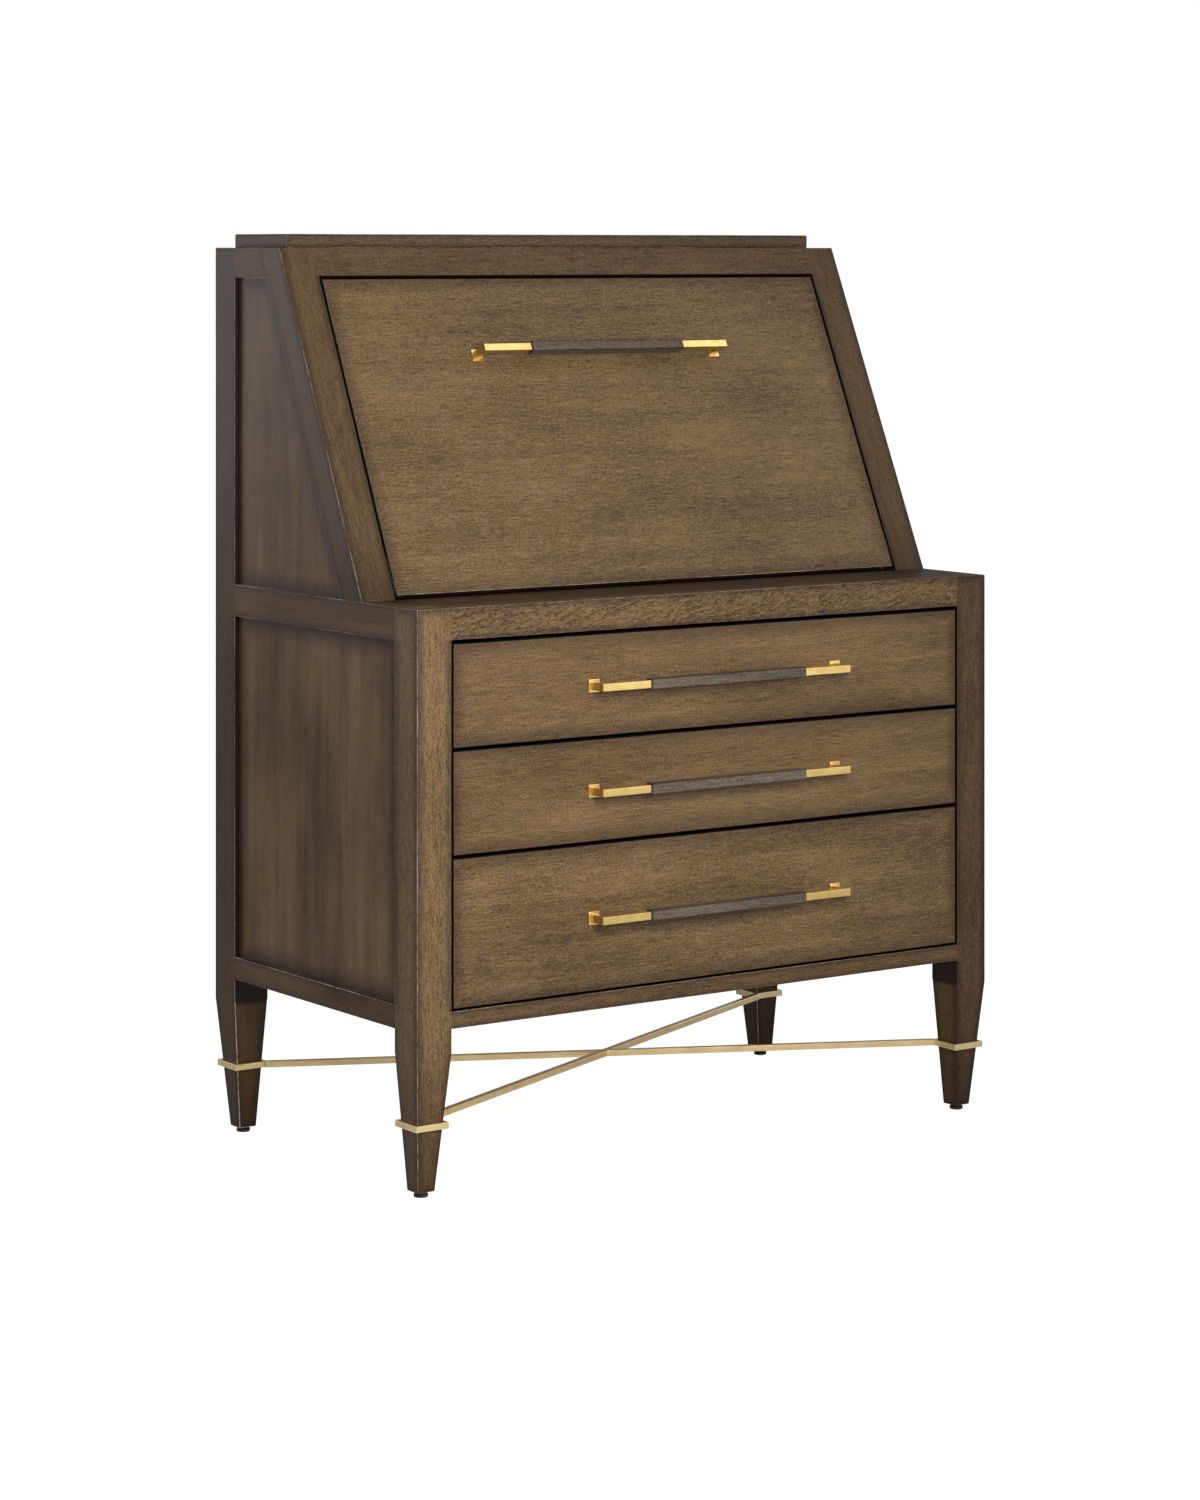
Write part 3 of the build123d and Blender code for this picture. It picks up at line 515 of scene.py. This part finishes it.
def islands_of(whole):
    """The sets of corners, by index, that hang together."""
    seen, islands = set(), []
    for start in whole.verts:
        if start.index in seen:
            continue
        island, waiting = set(), [start]
        while waiting:
            vert = waiting.pop()
            if vert.index in island:
                continue
            island.add(vert.index)
            waiting += [e.other_vert(vert) for e in vert.link_edges]
        seen |= island
        islands.append(island)
    return islands


def solids_of(node):
    """The node's separate solids, each as a clean bmesh, in a fixed order."""
    whole = bmesh.new()
    whole.from_mesh(NODES[node].data)
    bmesh.ops.remove_doubles(whole, verts=whole.verts, dist=MERGED)
    whole.verts.ensure_lookup_table()
    solids = []
    for island in islands_of(whole):
        solid = whole.copy()
        solid.verts.ensure_lookup_table()
        drop = [v for v in solid.verts if v.index not in island]
        bmesh.ops.delete(solid, geom=drop, context="VERTS")
        solids.append(solid)
    whole.free()

    def place(solid):
        return [round(min(v.co[axis] for v in solid.verts), 4) for axis in (2, 1, 0)]

    return sorted(solids, key=place)


def corners(solid):
    return np.array([v.co for v in solid.verts], float)


def own_frame(node, co):
    """Points as the piece's own axes see them: the slanted pieces are stood upright."""
    return lean(co, SLANT) if node.startswith(SLANTED) else co


def joints_of(node):
    """Where rails butt against an upright: (axis of the joint, up, lowest, highest)."""
    kind, _, side = node.rpartition("_")
    bands = []
    for axis, rail in JOINTS.get(kind, ()):
        up = UP_SLANT if rail.startswith(SLANTED) else UP
        for solid in solids_of(rail if rail in NODES else f"{rail}_{side}"):
            co = corners(solid)
            solid.free()
            depth = own_frame(rail, co)[:, 1] if axis == 0 else -np.abs(co[:, 0])
            height = co[depth < depth.min() + TOUCH] @ up
            bands.append((axis, up, height.min(), height.max()))
    return bands


def inner_depth(node, own, axis):
    """Distance of points from the side of an upright that faces its rails."""
    reach = own[:, axis]
    if node.endswith("_left") if axis == 0 else not node.startswith("post_rear"):
        return reach.max() - reach
    return reach - reach.min()


def plain_edges(node, solid, joints):
    """Edges that stay square, along the sides of an upright that rails butt against."""
    own = own_frame(node, corners(solid))
    sides = [inner_depth(node, own, axis) < TOUCH for axis in {joint[0] for joint in joints}]
    solid.verts.index_update()
    return {e for e in solid.edges for side in sides if all(side[v.index] for v in e.verts)}


def end_edges(solid):
    """Edges round the two ends of a long piece."""
    co = corners(solid)
    axis = int((co.max(0) - co.min(0)).argmax())
    ends = (co[:, axis].min(), co[:, axis].max())
    return {e for e in solid.edges for end in ends
            if all(abs(v.co[axis] - end) < TOUCH for v in e.verts)}


def ease_edges(node, solid, width, joints):
    """Merges flat facets, then rounds the sharp edges, apart from those that butt."""
    bmesh.ops.dissolve_limit(solid, angle_limit=FLAT, verts=solid.verts, edges=solid.edges)
    for _, up, low, high in joints:
        split_at(solid, Vector(up) * low, up)
        split_at(solid, Vector(up) * high, up)
    plain = plain_edges(node, solid, joints)
    if node.startswith(BUTTED):
        plain |= end_edges(solid)
    sharp = [e for e in solid.edges
             if len(e.link_faces) == 2 and e.calc_face_angle(0) > SHARP]
    rounded = [e for e in sharp if width > 0 and e not in plain]
    for edge in set(sharp) - set(rounded):
        edge.smooth = False
    if rounded:
        bmesh.ops.bevel(solid, geom=rounded, offset=width, offset_type="OFFSET",
                        segments=ROUNDING_STEPS, profile=0.5, affect="EDGES",
                        clamp_overlap=True)
    for _, up, low, high in joints:
        split_at(solid, Vector(up) * (low + JOINT_FADE), up)
        split_at(solid, Vector(up) * (high - JOINT_FADE), up)
    # Cuts where the painted gap shade on an upright's inner side, and on a rear post's front,
    # ends.
    if any(axis == 0 for axis, *_ in joints):
        inner = min((v.co.x for v in solid.verts), key=abs)
        split_at(solid, (inner + math.copysign(JOINT_FADE, inner), 0, 0), (1, 0, 0))
    if node.startswith("post_rear"):
        split_at(solid, (0, corners(solid)[:, 1].min() + JOINT_FADE, 0), (0, 1, 0))


def split_at(solid, place, normal):
    """Cuts the faces at a plane, so that the stains, the glaze and the painted shade can start
    and end there.
    """
    geometry = list(solid.verts) + list(solid.edges) + list(solid.faces)
    bmesh.ops.bisect_plane(solid, geom=geometry, plane_co=place, plane_no=normal, dist=CUT)


def lean(co, angle):
    """Turns points about X, so that the slanted face's own up becomes Z."""
    turned = co.copy()
    turned[:, 1] = co[:, 1] * math.cos(angle) - co[:, 2] * math.sin(angle)
    turned[:, 2] = co[:, 1] * math.sin(angle) + co[:, 2] * math.cos(angle)
    return turned


def set_attribute(mesh, name, values):
    layer = mesh.attributes.new(name, "FLOAT_VECTOR", "POINT")
    layer.data.foreach_set("vector", np.ascontiguousarray(values, np.float32).ravel())


def leg_edge_distances(co, near, far):
    """Lets the distances follow a post's tapered leg in to its foot."""
    low, high = co.min(0), co.max(0)
    foot = co[co[:, 2] < low[2] + FOOT_SLICE]
    share = np.clip((TAPER_TOP - co[:, 2]) / (TAPER_TOP - low[2]), 0, 1)
    for axis in (0, 1):
        near[:, axis] -= share * (foot[:, axis].min() - low[axis])
        far[:, axis] -= share * (high[axis] - foot[:, axis].max())


def clear_joints(node, co, own, near, far, joints):
    """Keeps glaze, painted shade, wear and painted highlights off an upright where a rail butts,
    and wear and painted highlights off its gap side.
    """
    for axis, up, low, high in joints:
        inner = inner_depth(node, own, axis)
        edge = far if abs(inner[own[:, axis].argmax()]) < TOUCH else near
        inside = np.abs(co @ up - (low + high) / 2) < (high - low) / 2 - JOINT_FADE / 2
        edge[inside, axis] += OFF_THE_END
        if axis == 0:
            edge[~inside, axis] = np.maximum(edge[~inside, axis], UNWORN)


def side_distances(node, co, own, order, slant_side, joints):
    """How far each point is from the piece's six sides, as the glaze and painted shade, and the
    wear and painted highlights, see it.
    """
    near, far = own - own.min(0), own.max(0) - own
    if slant_side:
        depth = lean(co, SLANT)[:, 1]
        near[:, 1] = depth - depth.min()
    if node.startswith("post_"):
        leg_edge_distances(co, near, far)
    clear_joints(node, co, own, near, far, joints)
    if node.startswith(RAILS):
        near[:, order[0]] += OFF_THE_END
        far[:, order[0]] += OFF_THE_END
    return near, far


def grain_places(own, order, tilt):
    """Points with the longest side first, turned by the angle that the grain is off line."""
    straight = own[:, order]
    turned = straight.copy()
    turned[:, 0] = straight[:, 0] * math.cos(tilt) + straight[:, 1] * math.sin(tilt)
    turned[:, 1] = straight[:, 1] * math.cos(tilt) - straight[:, 0] * math.sin(tilt)
    return turned


def shade_at_foot(node, co):
    """How far the legs and the stiles darken towards their feet; on the legs this is partly
    painted shade of the light falling off towards the floor.
    """
    if node.startswith("post_"):
        return LEG_SHADE * np.clip((TAPER_TOP - co[:, 2]) / TAPER_TOP, 0, 1)
    if node.startswith("slant_stile"):
        height = (co[:, 2] - stile_low.z) / STILE_SHADE_HEIGHT
        return STILE_SHADE * np.clip(1 - height, 0, 1)
    return np.zeros(len(co))


def lay_grain(mesh, rng, node, look, slant_side, joints):
    """Writes the piece's own grain direction, edge distances and finish to its mesh."""
    co = np.array([v.co for v in mesh.vertices], float)
    own = own_frame(node, co)
    order = np.argsort(own.max(0) - own.min(0))[::-1]
    near, far = side_distances(node, co, own, order, slant_side, joints)
    grain = grain_places(own, order, math.radians(look["tilt"]))
    offset = np.array([rng.uniform(-GRAIN_SPREAD, GRAIN_SPREAD) for _ in range(3)])
    tone = look["tone"] * rng.uniform(*TONE_SPREAD)
    finish = (look["glaze_and_shade"][0] * MM, look["glaze_and_shade"][1], tone)
    figure = (look["curl"], look["wear_and_highlight"], look["mottle"])
    surface = np.zeros((len(co), 3))
    surface[:, 0] = look["grit"]
    # Painted shade on the faces that line the gaps.
    surface[:, 1] = painted_gap_shade_mask(node, co, own)
    surface[:, 2] = shade_at_foot(node, co)
    set_attribute(mesh, "grain", grain + offset)
    set_attribute(mesh, "near", near)
    set_attribute(mesh, "far", far)
    set_attribute(mesh, "finish", np.tile(finish, (len(co), 1)))
    set_attribute(mesh, "figure", np.tile(figure, (len(co), 1)))
    set_attribute(mesh, "surface", surface)


def painted_gap_shade_mask(node, co, own):
    """1 on the faces that line the thin gaps round the door and the drawers, which are
    painted near black as the shade that falls in the gaps, and 0 elsewhere."""
    face, back = own[:, 1].min(), own[:, 1].max()
    if node == "door_panel" or node.startswith("drawer_") and node.endswith("_front"):
        return (own[:, 1] > face + TOUCH) & (own[:, 1] < back - TOUCH)
    if node.startswith(("post_front", "slant_stile")):
        return np.abs(co[:, 0]) < np.abs(co[:, 0]).min() + TOUCH
    if node == "front_rail_top" or node.startswith("side_rails") and co[0, 2] > stile_low.z / 2:
        return co[:, 2] < co[:, 2].min() + TOUCH
    if node.startswith("post_rear"):
        return co[:, 1] < co[:, 1].min() + TOUCH
    if node.startswith(("front_rail_bottom", "side_rails")):
        return co[:, 2] > co[:, 2].max() - TOUCH
    if node == "slant_top_rail":
        return own[:, 2] < own[own[:, 1] < face + TOUCH, 2].min() - TOUCH
    if node == "desk_floor":
        depth = lean(co, SLANT)[:, 1]
        return depth < depth.min() + MM
    if node == "ledge_board":
        return co[:, 1] > stile_low.y + TOUCH
    return np.zeros(len(co))


def look_of(node):
    """The finish of a node: the longest matching start of a name in LOOKS wins."""
    if node.endswith("_grip"):
        return {**PLAIN_LOOK, **HANDLE_LOOK}
    found = max((start for start in LOOKS if node.startswith(start)), key=len, default=None)
    return {**PLAIN_LOOK, **LOOKS.get(found, {})}


def cut_for_stain_and_painted_shade(node, solid):
    """Cuts the ledge where its painted gap shade starts to change, and a stile where its darker
    foot begins.
    """
    if node == "ledge_board":
        for back in (0, LEDGE_FADE):
            split_at(solid, (0, stile_low.y + back, 0), (0, 1, 0))
    if node.startswith("slant_stile"):
        split_at(solid, (0, 0, stile_low.z + STILE_SHADE_HEIGHT), UP)


def smooth_mesh(name, solid):
    """The solid as a mesh that shades smoothly, apart from the edges that stay square."""
    mesh = bpy.data.meshes.new(name)
    solid.to_mesh(mesh)
    solid.free()
    for face in mesh.polygons:
        face.use_smooth = True
    return mesh


def dress(node):
    """Stands finished pieces in for a CAD node's solids, at the same size and place."""
    rng = random.Random(node)
    slot = SLOT_OF[node]
    solids, joints = solids_of(node), joints_of(node)
    for number, solid in enumerate(solids, 1):
        name = node if len(solids) == 1 else f"{node}_{number}"
        upper_side = node.startswith("side_panels") and number == 2
        ease_edges(node, solid, EASED[slot] * MM, joints)
        cut_for_stain_and_painted_shade(node, solid)
        mesh = smooth_mesh(name + "_mesh", solid)
        lay_grain(mesh, rng, node, look_of(node), upper_side, joints)
        mesh.materials.append(MATERIALS[slot])
        piece = bpy.data.objects.new(name + "_finished", mesh)
        bpy.context.scene.collection.objects.link(piece)
        smooth = piece.modifiers.new("even_shading", "WEIGHTED_NORMAL")
        smooth.keep_sharp = True
        smooth.weight = 100
        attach(piece, BODY_OF[node])
        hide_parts(node)


make_camera()
make_studio()
MATERIALS = make_materials()
for cad_node in sorted(NODES):
    dress(cad_node)
